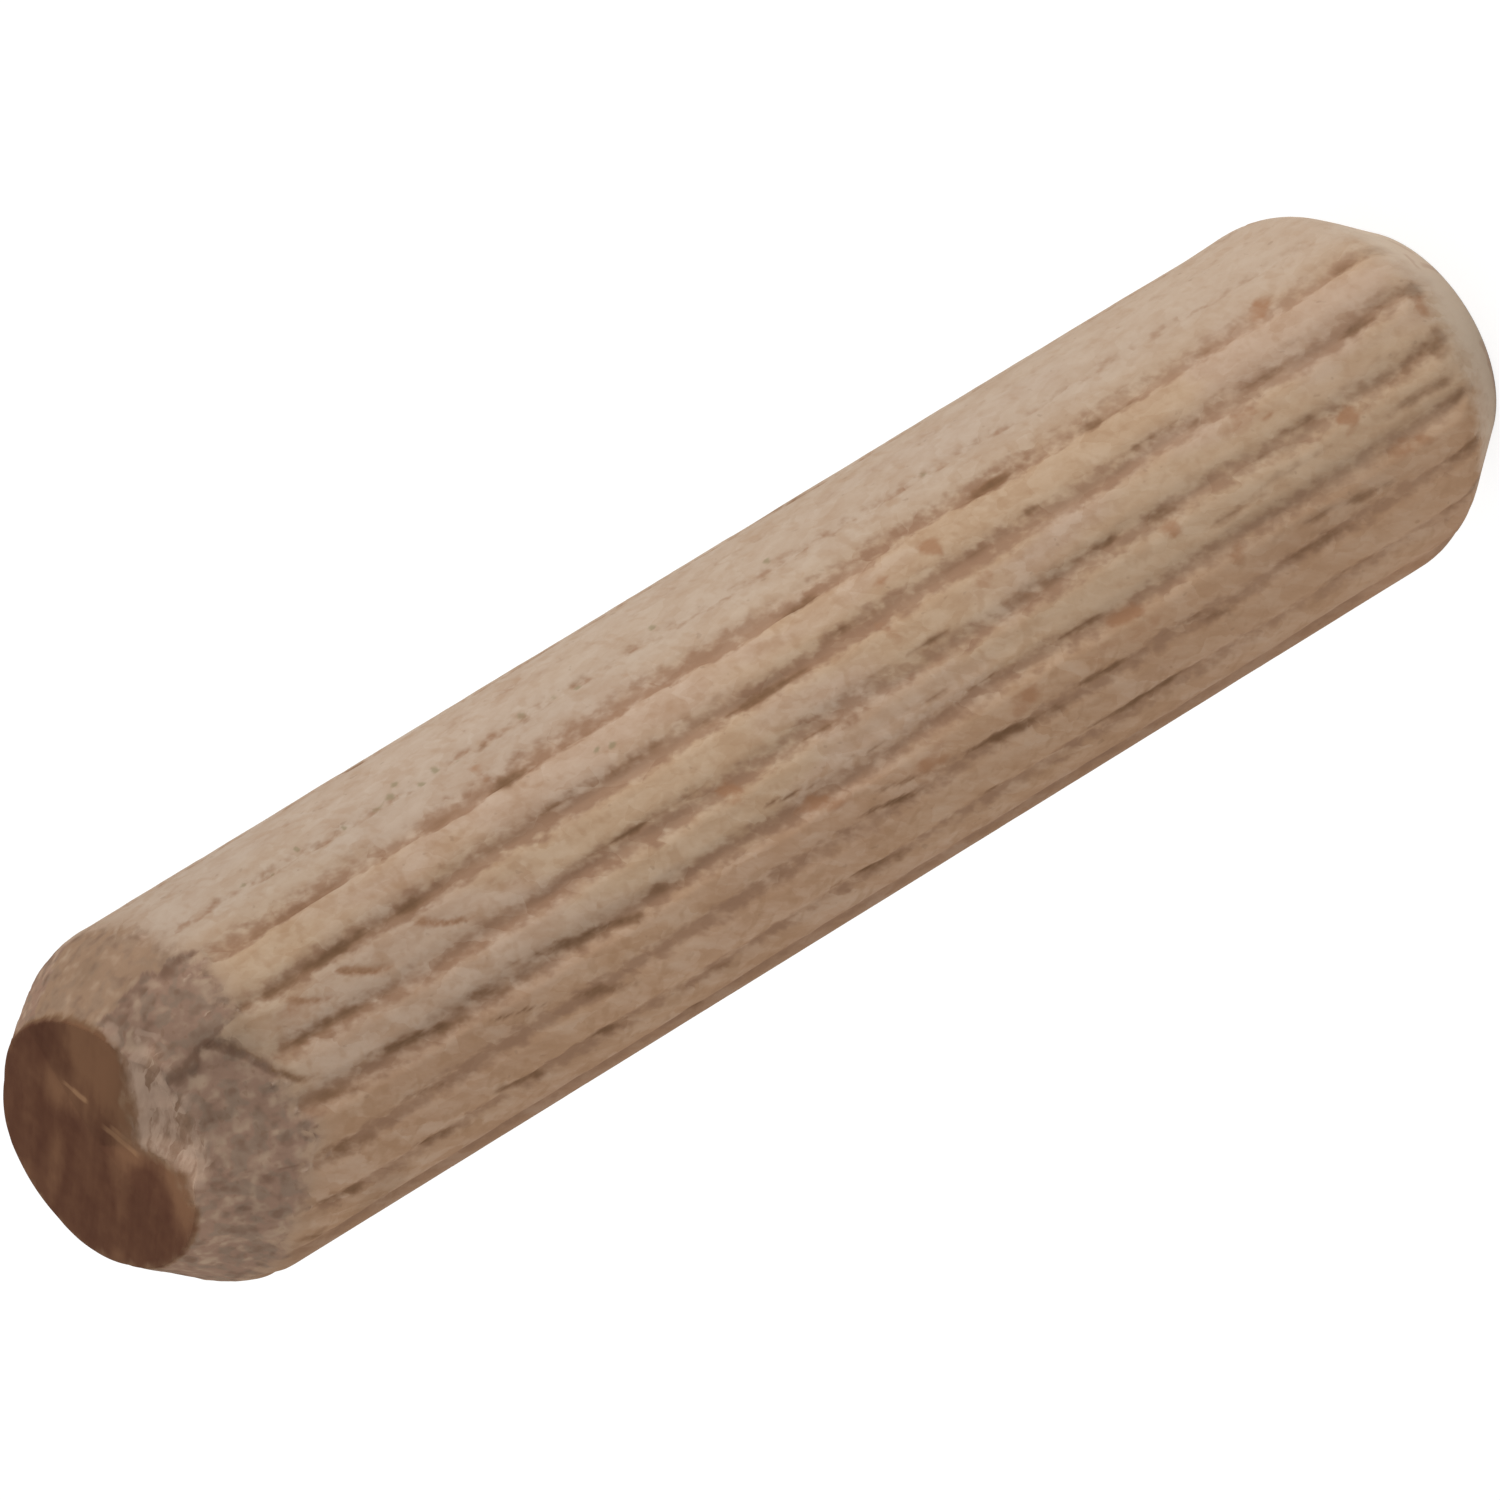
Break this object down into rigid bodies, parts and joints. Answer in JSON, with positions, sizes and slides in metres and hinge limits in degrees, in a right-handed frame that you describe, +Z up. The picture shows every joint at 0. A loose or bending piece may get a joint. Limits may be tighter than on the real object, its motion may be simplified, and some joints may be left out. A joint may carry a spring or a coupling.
{
  "type": "dowel pin",
  "caption": "Straight round wooden dowel pin with lengthwise flutes pressed into its shank and a chamfer at each end.",
  "frame": {"origin": "centre of the lower end face, on the surface that the pin stands on", "axes": "+Z up along the pin's axis, +X through the middle of a rib between two flutes"},
  "size_m": [0.008, 0.008, 0.038],
  "materials": {
    "beech_wood": "raw unfinished beech, torn and rough in the flutes, smooth and burnished brown on the end face"
  },
  "bodies": {
    "root": {"dowel_pin": "beech_wood"}
  },
  "joints": []
}
